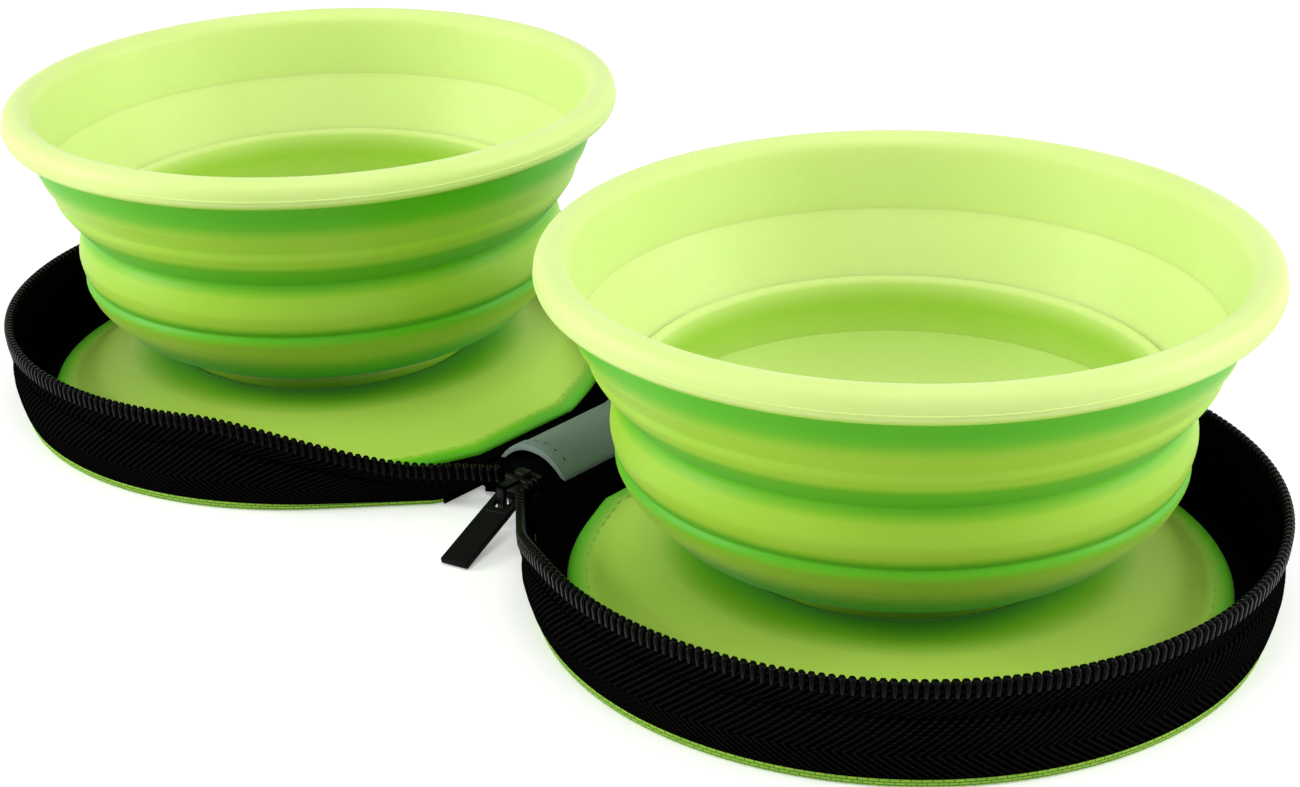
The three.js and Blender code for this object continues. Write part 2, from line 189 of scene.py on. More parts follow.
# Herringbone zip tape: dotted diagonal ribs that turn at the middle of the band, dull black
def herringboneTape():
    ribs = {"pitch": 1.65, "turnUp": 5.4, "float": 0.6, "depth": 0.12,  # mm
            "lean": -1.25, "narrow": 2.5, "dots": 0.35}
    material, tree, shader = startMaterial("herringboneTape", "#060606", {
        "Roughness": 0.75, "Specular IOR Level": 0.0})
    across = addNode(tree, "SeparateXYZ", {0: addNode(tree, "TexCoord").outputs["UV"]})
    rise = addNode(tree, "Math", {0: across.outputs["Y"], 1: ribs["turnUp"] * mm}, operation="SUBTRACT")
    fromTurn = addNode(tree, "Math", {0: rise.outputs[0]}, operation="ABSOLUTE")
    slant = addNode(tree, "Math", {0: fromTurn.outputs[0], 1: ribs["lean"], 2: across.outputs["X"]},
                    operation="MULTIPLY_ADD")
    phase = addNode(tree, "Math", {0: slant.outputs[0], 1: 2 * math.pi * perMetre(ribs["pitch"])},
                    operation="MULTIPLY")
    rib = addNode(tree, "Math", {0: phase.outputs[0]}, operation="SINE")
    level = addNode(tree, "Math", {0: rib.outputs[0], 1: 0.5, 2: 0.5}, operation="MULTIPLY_ADD")
    narrow = addNode(tree, "Math", {0: level.outputs[0], 1: ribs["narrow"]}, operation="POWER")
    beat = addNode(tree, "Math", {0: rise.outputs[0], 1: 2 * math.pi * perMetre(ribs["float"])},
                   operation="MULTIPLY")
    pulse = addNode(tree, "Math", {0: beat.outputs[0]}, operation="SINE")
    dots = addNode(tree, "Math", {0: pulse.outputs[0], 1: ribs["dots"], 2: 1 - ribs["dots"]},
                   operation="MULTIPLY_ADD")
    thread = addNode(tree, "Math", {0: narrow.outputs[0], 1: dots.outputs[0]}, operation="MULTIPLY")
    tintBetween(tree, shader, thread.outputs[0], "#020202", "#191918")
    raiseSurface(tree, shader, thread.outputs[0], ribs["depth"])
    return material


# Woven edging: rows of thick green yarn that show as small bricks
def yarnEdging():
    yarn = {"length": 1.7, "row": 0.62, "gap": 0.1, "depth": 0.12}  # mm
    material, tree, shader = startMaterial("yarnEdging", "#86BE30", {"Roughness": 0.75})
    place = addNode(tree, "TexCoord").outputs["UV"]
    bricks = addNode(tree, "TexBrick", {
        "Vector": place, "Scale": perMetre(1), "Brick Width": yarn["length"], "Row Height": yarn["row"],
        "Mortar Size": yarn["gap"], "Mortar Smooth": 0.6, "Color1": linearColour("#9CCB38"),
        "Color2": linearColour("#8ABF2C"), "Mortar": linearColour("#3F7A10")})
    tree.links.new(bricks.outputs["Color"], shader.inputs["Base Color"])
    low = addNode(tree, "Math", {0: 1.0, 1: bricks.outputs["Fac"]}, operation="SUBTRACT")
    raiseSurface(tree, shader, low.outputs[0], yarn["depth"])
    return material


# Grosgrain tape: grey, ribbed across its width
def grosgrainTape():
    ribs = {"pitch": 0.7, "depth": 0.07}  # mm, the pitch coarser than the real one so that it shows
    material, tree, shader = startMaterial("grosgrainTape", "#5E6E68", {"Roughness": 0.75, "Sheen Weight": 0.1})
    along = addNode(tree, "SeparateXYZ", {0: addNode(tree, "TexCoord").outputs["Object"]})
    phase = addNode(tree, "Math", {0: along.outputs["Y"], 1: 2 * math.pi * perMetre(ribs["pitch"])},
                    operation="MULTIPLY")
    rib = addNode(tree, "Math", {0: phase.outputs[0]}, operation="SINE")
    level = addNode(tree, "Math", {0: rib.outputs[0], 1: 0.5, 2: 0.5}, operation="MULTIPLY_ADD")
    tintBetween(tree, shader, level.outputs[0], "#566660", "#74867E")
    raiseSurface(tree, shader, level.outputs[0], ribs["depth"])
    return material


silicone = mouldedSilicone()
linerCloth = coatedNylon()
linerThread = polyesterThread("linerThread", "#A6D24A")
tapeThread = polyesterThread("tapeThread", "#1E2422")
dullCloth = {"Roughness": 0.85, "Specular IOR Level": 0.0}
greenWeave = plainWeave("greenWeave", "#6AA81A", "#90C838", 1.5, 0.1, dullCloth)
greenEdging = yarnEdging()
blackWeave = plainWeave("blackWeave", "#020202", "#070707", 0.8, 0.05, dullCloth)
blackLining = plainWeave("blackLining", "#020202", "#040404", 1.0, 0.03, dullCloth)
zipTape = herringboneTape()
spineRibbon = grosgrainTape()
# Extruded nylon: black and smooth, with a small highlight on every tooth
coilNylon = startMaterial("coilNylon", "#020202", {"Roughness": 0.25, "Specular IOR Level": 0.05})[0]
# Painted zinc: black, slightly glossy
paintedZinc = startMaterial("paintedZinc", "#040404", {"Roughness": 0.4, "Specular IOR Level": 0.12})[0]
# Soft rubber pull: black and dull
pullRubber = startMaterial("pullRubber", "#050505", {"Roughness": 0.65, "Specular IOR Level": 0.08})[0]
# Grey board: uncoated fibre board, quite dull
fibreBoard = startMaterial("fibreBoard", "#77736A", {"Roughness": 0.9})[0]
print("materials:", len(bpy.data.materials))


# Pieces
def addPiece(bm, name, material, turn=0.0, sharpAngle=35):
    bmesh.ops.rotate(bm, verts=bm.verts, cent=(0, 0, 0), matrix=Matrix.Rotation(turn, 3, "Z"))
    mesh = bpy.data.meshes.new(name)
    bm.to_mesh(mesh)
    bm.free()
    mesh.materials.append(material)
    mesh.shade_smooth()
    mesh.set_sharp_from_angle(angle=math.radians(sharpAngle))
    piece = bpy.data.objects.new(name, mesh)
    bpy.context.collection.objects.link(piece)
    return piece


def closeUp(bm):
    bmesh.ops.remove_doubles(bm, verts=bm.verts, dist=1e-6)
    bmesh.ops.recalc_face_normals(bm, faces=bm.faces)
    return bm


# Loops of equal count in mm, each one extruded from the last and moved to its place
def sweptLoops(loops, closing, along=None, up=None):
    bm = bmesh.new()
    corner = bm.verts.layers.int.new("corner")
    lengthwise = bm.verts.layers.float.new("lengthwise")
    verts = [bm.verts.new(Vector(point) * mm) for point in loops[0]]
    count = len(verts)
    edges = [bm.edges.new((verts[i], verts[(i + 1) % count])) for i in range(count)]
    firstEdges = edges
    for i, vert in enumerate(verts):
        vert[corner] = i
        vert[lengthwise] = along[0] if along else 0
    for step, loop in enumerate(loops[1:], 1):
        made = bmesh.ops.extrude_edge_only(bm, edges=edges)["geom"]
        verts = [part for part in made if isinstance(part, bmesh.types.BMVert)]
        fresh = set(verts)
        edges = [part for part in made if isinstance(part, bmesh.types.BMEdge) and fresh.issuperset(part.verts)]
        for vert in verts:
            vert.co = Vector(loop[vert[corner]]) * mm
            vert[lengthwise] = along[step] if along else 0
    if closing == "joined":
        bmesh.ops.bridge_loops(bm, edges=firstEdges + edges)
    elif closing == "capped":
        bmesh.ops.edgeloop_fill(bm, edges=firstEdges)
        bmesh.ops.edgeloop_fill(bm, edges=edges)
    if up:
        bandUv = bm.loops.layers.uv.new("bandUv")
        for face in bm.faces:
            for part in face.loops:
                part[bandUv].uv = (part.vert[lengthwise] * mm, up[part.vert[corner]] * mm)
    return closeUp(bm)


def alongLoops(loops, corner):
    along = [0.0]
    for here, there in zip(loops, loops[1:]):
        along.append(along[-1] + (Vector(there[corner]) - Vector(here[corner])).length)
    return along


# Bowl rings: (radius, height, rounding) corners in mm, each ring turned about the bowl's axis
rimLow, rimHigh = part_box("right_bowl_rim")
bowl = {
    "axisX": (rimLow.x + rimHigh.x) / 2 / mm,
    "steps": 144,
    "roundSteps": 7,
    "rim": [(57.5, 53.2, 0), (58.9, 56.8, 1.5), (59.6, 61.6, 0.8), (64.2, 61.6, 1.8), (64.2, 63.55, 0),
            (64.36, 63.62, 0), (64.36, 63.8, 0), (64.2, 63.87, 0), (64.3, 67.5, 2.85), (58.4, 67.5, 2.8),
            (57.5, 60.5, 2.0), (56.3, 53.2, 0)],
    "upperFold": [(57.5, 53.25, 0), (55.5, 49.8, 0.5), (55.5, 48.6, 0.8), (54.3, 46.4, 1.6), (50.6, 41.9, 0),
                  (49.3, 41.9, 0), (55.8, 52.2, 1.0), (56.3, 53.25, 0)],
    "middleBand": [(50.6, 41.95, 0), (50.1, 41.2, 0.8), (51.7, 37.6, 2.6), (51.8, 33.8, 2.3), (51.0, 31.3, 0),
                   (46.4, 31.3, 0), (46.2, 38, 1.0), (46.2, 42.45, 1.2), (48.55, 42.45, 1.1), (48.7, 41.15, 0.3),
                   (49.3, 41.95, 0)],
    "lowerFold": [(51.0, 31.35, 0), (50.4, 30.4, 0.3), (51.2, 29.0, 0.8), (49.6, 25.4, 1.2),
                  (43.2, 18.4, 2.5), (32.5, 14.1, 0), (30.2, 14.1, 0), (40.2, 20.2, 4.0), (46.4, 31.35, 0)],
    "base": [(0, 9.3, 0), (36.5, 9.3, 0.3), (36.5, 10.4, 0.3), (32.6, 10.5, 0.2), (32.5, 14.15, 0),
             (30.2, 14.15, 0), (27.5, 11.9, 2.0), (0, 11.9, 0)],
    # where painted shade lies in a crease: radius, height, reach and depth
    "shadedCreases": [(59.5, 58.5, 6.5, 0.72), (52, 43, 5.5, 0.8), (50.5, 30.3, 3.0, 0.7), (40, 15.5, 14, 1.05)],
    # painted shade on the inside, under the ridge
    "shadedInsideCreases": [(46.2, 35.5, 6.0, 0.25)],
    "outsideShade": 0.28,    # painted shade all over the outside, below the height given next
    "outsideShadeTop": 59.5,
    "outsideFacing": 0.2,    # a face that looks out and down more than this is outside
}


# How deep each point lies in a crease, painted as shade that its material shows as deeper green
def paintCreaseShade(bm, shadeAt):
    layer = bm.verts.layers.float.new("creaseShade")
    bm.normal_update()
    for vert in bm.verts:
        x, y = vert.co.x / mm - bowl["axisX"], vert.co.y / mm
        radius = max(math.hypot(x, y), 0.1)
        vert[layer] = shadeAt(radius, math.atan2(y, x), vert.co.z / mm,
                              (vert.normal.x * x + vert.normal.y * y) / radius, vert.normal.z)
    return bm


# painted shade of the bowl: outside faces get an even shade below the bead, and more near each listed crease
def bowlCreaseShade(radius, angle, height, outward, upward):
    outside = outward - upward > bowl["outsideFacing"]
    near = [depth * (1 - ((radius - r) ** 2 + (height - h) ** 2) / reach ** 2)
            for r, h, reach, depth in bowl["shadedCreases" if outside else "shadedInsideCreases"]]
    return max(bowl["outsideShade"] if outside and height < bowl["outsideShadeTop"] else 0, *near)


def turnedRing(corners):
    bm = bmesh.new()
    verts = [bm.verts.new(((bowl["axisX"] + radius) * mm, 0, height * mm)) for radius, height, _ in corners]
    bm.faces.new(verts)
    for vert, corner in zip(verts, corners):
        if corner[2]:
            bmesh.ops.bevel(bm, geom=[vert], offset=corner[2] * mm, offset_type="OFFSET", affect="VERTICES",
                            segments=bowl["roundSteps"], profile=0.5, material=-1)
    bmesh.ops.delete(bm, geom=bm.faces[:], context="FACES_ONLY")
    bmesh.ops.spin(bm, geom=bm.verts[:] + bm.edges[:], cent=(bowl["axisX"] * mm, 0, 0), axis=(0, 0, 1),
                   dvec=(0, 0, 0), angle=2 * math.pi, steps=bowl["steps"], use_merge=True)
    return paintCreaseShade(closeUp(bm), bowlCreaseShade)


def buildBowl(side, turn):
    half, middle, top = f"{side}_half", f"{side}_middle", f"{side}_rim"
    nodes = {"base": "bowl_base", "lowerFold": "bowl_lower_fold", "middleBand": "bowl_middle_band",
             "upperFold": "bowl_upper_fold", "rim": "bowl_rim"}
    rings = {}
    for ring, node in nodes.items():
        rings[ring] = addPiece(turnedRing(bowl[ring]), f"{side}Bowl{ring[0].upper()}{ring[1:]}", silicone,
                               turn)
        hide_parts(f"{side}_{node}")
    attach(rings["base"], half)
    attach(rings["middleBand"], middle)
    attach(rings["rim"], top)
    for ring, lower, upper in (("lowerFold", half, middle), ("upperFold", middle, top)):
        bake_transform(rings[ring])


for side, turn in halfTurns.items():
    buildBowl(side, turn)
print("bowls turned")


# Outline of a half of the case: a round that runs out to two corners at its hinge side, in mm
case = {
    "wall": {"radius": 68.5, "hingeX": 9.3, "corner": 29.5},
    "foot": {"radius": 66.3, "hingeX": 12.0, "corner": 29.5},
    "liner": {"radius": 60.3, "hingeX": 17.0, "corner": 14.0},
    "wallBottom": 1.75,
    "cornerBottom": 1.1,  # nearer the floor at the hinge
    "wallTop": 17.35,
    "zipTop": 21.25,
    "cornerDrop": 11.3,
    "dropStart": 2.0,     # radians from the far side
    "stations": 160,
}


def outlineReach(name):
    outline = case[name]
    flat = bowl["axisX"] - outline["hingeX"]
    cornerAngle = math.pi - math.atan2(outline["corner"], flat)
    tangentAngle = cornerAngle - math.acos(min(1, outline["radius"] / math.hypot(flat, outline["corner"])))

    def reach(angle):
        turn = abs(angle)
        if turn <= tangentAngle:
            return outline["radius"]
        if turn <= cornerAngle:
            return outline["radius"] / math.cos(turn - tangentAngle)
        return flat / math.cos(math.pi - turn)

    return reach, cornerAngle


wallReach, zipCorner = outlineReach("wall")
footReach, _ = outlineReach("foot")
linerReach, _ = outlineReach("liner")


def placeAt(angle, radius, height):
    return (bowl["axisX"] + radius * math.cos(angle), radius * math.sin(angle), height)


def zipDrop(angle):
    share = min(1, max(0, (abs(angle) - case["dropStart"]) / (zipCorner - case["dropStart"])))
    return case["cornerDrop"] * share * share * (3 - 2 * share)


def wallBottom(angle):
    return case["wallBottom"] + (case["cornerBottom"] - case["wallBottom"]) * zipDrop(angle) / case["cornerDrop"]


def wallAngles():
    return [zipCorner * (2 * k / case["stations"] - 1) for k in range(case["stations"] + 1)]


def roundAngles(count):
    return [2 * math.pi * (k + 0.5) / count - math.pi for k in range(count)]


# Base panel: green woven bottom, its edge turned up under the wall and covered by an edging
basePanel = {
    "around": 144,
    "edge": [(6.0, 0.0), (1.2, 0.0), (0.5, 0.12), (0.15, 0.5), (0.1, 1.0), (0.2, 1.6), (0.6, 2.1), (1.0, 2.4),
             (1.8, 2.5), (2.0, 1.0)],  # inset and height, from the underside round to the inside
    "measuredAt": 2,   # the edging's point along which its length runs
    "edging": [(0.6, 0.06), (0.0, 0.3), (-0.3, 1.0), (-0.25, 1.8), (0.25, 2.3), (0.7, 1.3)],
}


def buildBasePanel(side, turn):
    angles = roundAngles(basePanel["around"])
    loops = [[placeAt(angle, footReach(angle) - inset, height) for angle in angles]
             for inset, height in basePanel["edge"]]
    panel = addPiece(sweptLoops(loops, "capped"), f"{side}BasePanel", greenWeave, turn)
    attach(panel, f"{side}_half")
    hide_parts(f"{side}_base_panel")
    loops = [[placeAt(angle, footReach(angle) - inset, height) for inset, height in basePanel["edging"]]
             for angle in angles]
    up = [height for _, height in basePanel["edging"]]
    along = alongLoops(loops, basePanel["measuredAt"])
    bm = sweptLoops(loops, "joined", along, up)
    edging = addPiece(bm, f"{side}BaseEdging", greenEdging, turn, 60)
    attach(edging, f"{side}_half")
    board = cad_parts[f"{side}_base_board"]
    board.data.materials.clear()
    board.data.materials.append(fibreBoard)


# Liner: a pillow-like sheet over foam, stitched close to its rolled edge
liner = {
    "around": 180,
    "edge": [(0.9, 2.7), (0.15, 3.1), (0.0, 3.9), (0.35, 4.55), (1.1, 4.95), (2.1, 5.0), (3.1, 4.9), (3.7, 4.85),
             (4.3, 4.95), (5.3, 5.5)],  # inset and height
    "dome": [(50.5, 8.55), (47, 9.55), (43.5, 10.5), (40, 11.35), (37, 11.85), (34.4, 11.95), (33.1, 11.7),
             (32.8, 11.0)],              # radius and height
    "under": [(37, 10.7), (50, 6.0)],
    "dent": 0.3,                         # mm of unevenness, over dentSize
    "dentSize": 16,
    "dentAbove": 4.7,
    "edgeShade": (4.0, 0.75),           # painted shade at the rolled edge: its reach and depth
    # painted shade round the bowl's foot: its reach and depth
    "holeShade": (10.0, 0.8),
    "stitchInset": 3.55,
    "stitchPitch": 3.1,
    "stitchHeight": 4.93,
    "stitch": (0.95, 0.24, 0.16),        # half sizes: along, across, up
}


def linerDent(point):
    return liner["dent"] * noise.noise(Vector(point) / liner["dentSize"])


# painted shade of the liner: deeper at its rolled edge and round the bowl's foot
def linerCreaseShade(radius, angle, height, outward, upward):
    reach, depth = liner["edgeShade"]
    holeReach, holeDepth = liner["holeShade"]
    edge, hole = (linerReach(angle) - radius) / reach, (radius - liner["dome"][-1][0]) / holeReach
    return max(depth * (1 - edge ** 2), holeDepth * (1 - hole ** 2), 0)


def buildLiner(side, turn):
    angles = roundAngles(liner["around"])
    loops = [[placeAt(a, linerReach(a) - inset, height) for a in angles] for inset, height in liner["edge"]]
    loops += [[placeAt(a, radius, height) for a in angles] for radius, height in liner["dome"] + liner["under"]]
    loops = [[(x, y, z + linerDent((x, y, 0)) if z > liner["dentAbove"] else z) for x, y, z in loop]
             for loop in loops]
    bm = paintCreaseShade(sweptLoops(loops, "joined"), linerCreaseShade)
    sheet = addPiece(bm, f"{side}Liner", linerCloth, turn, 60)
    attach(sheet, f"{side}_half")
    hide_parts(f"{side}_liner", f"{side}_foam_pad")


def buildLinerStitches(side, turn):
    bm = bmesh.new()
    count = round(2 * math.pi * (case["liner"]["radius"] - liner["stitchInset"]) / liner["stitchPitch"])
    for angle in roundAngles(count):
        radius = linerReach(angle) - liner["stitchInset"]
        spot = placeAt(angle, radius, liner["stitchHeight"])
        spot = (spot[0], spot[1], spot[2] + linerDent((spot[0], spot[1], 0)))
        place = Matrix.Translation(Vector(spot) * mm) @ Matrix.Rotation(angle + math.pi / 2, 4, "Z")
        shape = Matrix.Diagonal((*[size * mm for size in liner["stitch"]], 1))
        bmesh.ops.create_uvsphere(bm, u_segments=6, v_segments=4, radius=1, matrix=place @ shape)
    stitches = addPiece(bm, f"{side}LinerStitches", linerThread, turn, 60)
    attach(stitches, f"{side}_half")


# Side wall: herringbone band that bulges, a notch above it, then the zip's tape up into the coil.
# Each section point is a share of the wall's height, an offset outwards and a lift, both in mm.
sideWall = {
    "section": [(0.0, 0.2, 0), (0.02, 0.45, 0), (0.1, 0.8, 0), (0.26, 1.1, 0), (0.44, 1.2, 0), (0.58, 0.95, 0),
                (0.68, 0.5, 0), (0.74, 0.05, 0), (0.765, -0.5, 0), (0.795, -0.5, 0), (0.83, 0.0, 0), (0.9, 0.3, 0),
                (1.0, 0.35, 0), (1.0, 0.25, 0.3), (1.0, 0.25, 3.1), (1.0, -0.65, 3.1), (1.0, -0.8, 0),
                (0.5, -0.5, 0), (0.0, -1.2, 0)],
    "fullHeight": 10,  # below this wall height in mm the section flattens
    "lining": [(0.02, -1.9, 0), (0.5, -1.55, 0), (1.0, -1.9, 0), (1.0, -2.7, 0), (0.5, -2.4, 0), (0.02, -2.7, 0)],
    "measuredAt": 4,    # the section's point along which the wall's length runs
    "floorInner": 3.0,  # how far the lining's floor strip runs under the liner
    "floorOuter": 0.9,  # and its outer edge, in from the foot
    "floorHeights": (3.25, 3.5),
}


def wallSection(angle, points):
    bottom = wallBottom(angle)
    height = case["wallTop"] - zipDrop(angle) - bottom
    flatten = min(1, height / sideWall["fullHeight"])
    foot, top = footReach(angle), wallReach(angle)
    return [placeAt(angle, foot + (top - foot) * share + offset * flatten, bottom + height * share + lift)
            for share, offset, lift in points]


def buildSideWall(side, turn):
    angles = wallAngles()
    loops = [wallSection(angle, sideWall["section"]) for angle in angles]
    up = [share * (case["wallTop"] - case["wallBottom"]) + lift for share, _, lift in sideWall["section"]]
    along = alongLoops(loops, sideWall["measuredAt"])
    wall = addPiece(sweptLoops(loops, "capped", along, up), f"{side}SideWall", zipTape, turn, 50)
    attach(wall, f"{side}_half")
    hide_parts(f"{side}_side_wall")
    loops = [wallSection(angle, sideWall["lining"]) for angle in angles]
    lining = addPiece(sweptLoops(loops, "capped"), f"{side}WallLining", blackLining, turn, 50)
    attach(lining, f"{side}_half")
    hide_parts(f"{side}_wall_lining")
    low, high = sideWall["floorHeights"]
    edges = [("outer", low), ("outer", high), ("inner", high), ("inner", low)]
    reach = {"outer": lambda a: footReach(a) - sideWall["floorOuter"],
             "inner": lambda a: linerReach(a) - sideWall["floorInner"]}
    loops = [[placeAt(a, reach[edge](a), height) for a in roundAngles(basePanel["around"])] for edge, height in edges]
    strip = addPiece(sweptLoops(loops, "joined"), f"{side}FloorStrip", blackLining, turn)
    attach(strip, f"{side}_half")


for side, turn in halfTurns.items():
    buildBasePanel(side, turn)
    buildLiner(side, turn)
    buildLinerStitches(side, turn)
    buildSideWall(side, turn)
print("case halves sewn")


# Zip coil: a row of upright nylon loops along the wall's top edge, each with a round head
zipCoil = {
    "pitch": 1.6,
    "wire": 0.42,       # radius
    "loopWidth": 2.0,   # outside, across the wall
    "loopHeight": 3.6,
    "headWidth": 1.45,  # the head against the legs, along the zip
    "headDepth": 1.2,   # from the top down
    "lean": 0.25,       # between a loop's two legs, along the zip
    "behind": 0.2,      # the loops' middle, from the wall's outline inwards
    "wireSides": 6,
    "loopSteps": 10,
    "lineSteps": 360,   # of the wall's top edge
    "endRise": 0.4,     # from the corner to the slider
    "endSteps": 6,
    "tapeThickness": 0.9,
    "tapeTop": 0.8,     # the bare tape's upper edge, below the zip's top
    "ends": {"right": {"stop": (7.9, -23.4), "tape": (3.5, 3.5)},   # where each zip meets the slider, and its
             "left": {"stop": (0.2, -24.3), "tape": (6.0, 3.0)}},   # tape's lower edge at the corner and there
}


def coilLoop():
    bm = bmesh.new()
    bend = zipCoil["loopWidth"] / 2 - zipCoil["wire"]
    straight = zipCoil["loopHeight"] - 2 * (bend + zipCoil["wire"])
    bmesh.ops.create_circle(bm, segments=zipCoil["wireSides"], radius=zipCoil["wire"] * mm,
                            matrix=Matrix.Translation((bend * mm, 0, 0)))
    bmesh.ops.spin(bm, geom=bm.verts[:] + bm.edges[:], cent=(0, 0, 0), axis=(0, 1, 0), dvec=(0, 0, 0),
                   angle=2 * math.pi, steps=zipCoil["loopSteps"], use_merge=True)
    closeUp(bm)
    lower = [vert for vert in bm.verts if vert.co.z < -0.1 * bend * mm]  # the ring's lower half drops to make legs
    bmesh.ops.translate(bm, verts=lower, vec=(0, 0, -straight * mm))
    bmesh.ops.translate(bm, verts=bm.verts, vec=(0, 0, -(bend + zipCoil["wire"]) * mm))
    for vert in bm.verts:
        if vert.co.z > -zipCoil["headDepth"] * mm:
            vert.co.y *= zipCoil["headWidth"]
        vert.co.y += zipCoil["lean"] / 2 * vert.co.x / bend
    loop = bpy.data.meshes.new("coilLoop")
    bm.to_mesh(loop)
    bm.free()
    return loop


def wallLine():
    steps = zipCoil["lineSteps"]
    angles = [zipCorner * (2 * k / steps - 1) for k in range(steps + 1)]
    return [Vector(placeAt(angle, wallReach(angle) - zipCoil["behind"], case["zipTop"] - zipDrop(angle)))
            for angle in angles]


def endLine(side):
    x, y = zipCoil["ends"][side]["stop"]
    corner = wallLine()[0 if side == "right" else -1]
    facing = 1 if side == "right" else -1  # the left half is drawn turned
    return [corner, Vector((facing * x, facing * y, corner.z + zipCoil["endRise"]))]


def evenSteps(line, pitch, left):
    steps = []
    for here, there in zip(line, line[1:]):
        run = there - here
        while left <= run.length:
            steps.append((here + run.normalized() * left, run.normalized()))
            left += pitch
        left -= run.length
    return steps


def coilAlong(line, loop, start):
    bm = bmesh.new()
    for place, tangent in evenSteps(line, zipCoil["pitch"], start):
        forward = Vector((tangent.x, tangent.y, 0)).normalized()
        outward = forward.cross(Vector((0, 0, 1)))
        seat = Matrix((outward, forward, (0, 0, 1))).transposed().to_4x4()
        before = len(bm.verts)
        bm.from_mesh(loop)
        bm.verts.ensure_lookup_table()
        bmesh.ops.transform(bm, matrix=Matrix.Translation(place * mm) @ seat, verts=bm.verts[before:])
    return bm


def buildZip(side, turn, loop):
    coil = addPiece(coilAlong(wallLine(), loop, 0), f"{side}ZipCoil", coilNylon, turn, 80)
    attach(coil, f"{side}_half")
    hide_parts(f"{side}_zip_coil")
    corner, stop = endLine(side)
    endCoil = addPiece(coilAlong([corner, stop], loop, zipCoil["pitch"]), f"{side}ZipEndCoil", coilNylon,
                       turn, 80)
    if side == "left":
        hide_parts("left_zip_end")
    across = (stop - corner).cross(Vector((0, 0, 1))).normalized() * zipCoil["tapeThickness"] / 2
    top = Vector((0, 0, -zipCoil["tapeTop"]))
    lowStart, lowEnd = [Vector((0, 0, -depth)) for depth in zipCoil["ends"][side]["tape"]]
    loops = []
    for step in range(zipCoil["endSteps"] + 1):
        share = step / zipCoil["endSteps"]
        spot, low = corner.lerp(stop, share), lowStart.lerp(lowEnd, share)
        loops.append([spot + across + low, spot + across + top, spot - across + top, spot - across + low])
    tape = addPiece(sweptLoops(loops, "capped"), f"{side}ZipEndTape", blackWeave, turn)
    for piece in (endCoil, tape):
        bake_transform(piece)


coilMesh = coilLoop()
for side, turn in halfTurns.items():
    buildZip(side, turn, coilMesh)
print("zips wound")


# Hinge: a panel on each half, and between them the arched tape with a hem at each end
hinge = {
    "panelSection": [(11.6, 0.3), (12.0, 0.2), (12.3, 2.9), (14.2, 3.1), (13.2, 4.4), (11.8, 6.0), (10.6, 7.0),
                     (9.7, 7.1), (9.2, 6.6), (10.3, 5.2), (11.3, 3.9), (11.6, 2.6)],  # x and z
    "panelEnd": 29.3,
    "foldSection": [(10.7, 6.1), (10.4, 3.4), (9.7, 1.6), (8.9, 1.4), (8.2, 3.2), (7.8, 5.9)],  # slack cloth
    "foldThickness": 0.5,
    "foldEnd": 20.6,
    "tapeWidth": 8.75,       # half, at the edges
    "tapeEdge": 6.4,
    "tapeCrown": 4.7,
    "tapeCurve": 2.3,
    "tapeThickness": 1.0,
    "tapeEnd": 16.0,
    "hem": 2.7,
    "hemRise": 0.35,
    "hemStep": 0.3,          # how gently the hem runs out
    "acrossSteps": 16,
    "gussetRun": [(12.5, 0), (19.6, 0), (20.2, 0.4), (20.6, 1.6), (20.9, 4.6)],  # y, and how far it has turned down
    "gussetCrown": 1.3,
    "gussetCurve": 2,
    "gussetThickness": 1.2,
    "stitches": (-4.6, -1.8, 1.0, 3.6, 5.9),  # along the hem, from the tape's middle
    "stitchSize": (0.42, 0.3, 0.2),
    "stitchIn": 0.15,                         # from the hem
    "stitchLift": 0.1,
}


def archSection(y, edge, crown, curve, rise, thickness):
    half = hinge["tapeWidth"]
    across = [half * (2 * k / hinge["acrossSteps"] - 1) for k in range(hinge["acrossSteps"] + 1)]
    height = {x: edge + crown * (1 - abs(x / half) ** curve) for x in across}
    return [(x, y, height[x] + rise) for x in across] + [(x, y, height[x] - thickness) for x in reversed(across)]


def thickened(line, thickness):
    back = []
    for k, (x, z) in enumerate(line):
        (fromX, fromZ), (toX, toZ) = line[max(k - 1, 0)], line[min(k + 1, len(line) - 1)]
        run = math.hypot(toX - fromX, toZ - fromZ)
        back.append((x + (toZ - fromZ) / run * thickness, z - (toX - fromX) / run * thickness))
    return line + back[::-1]


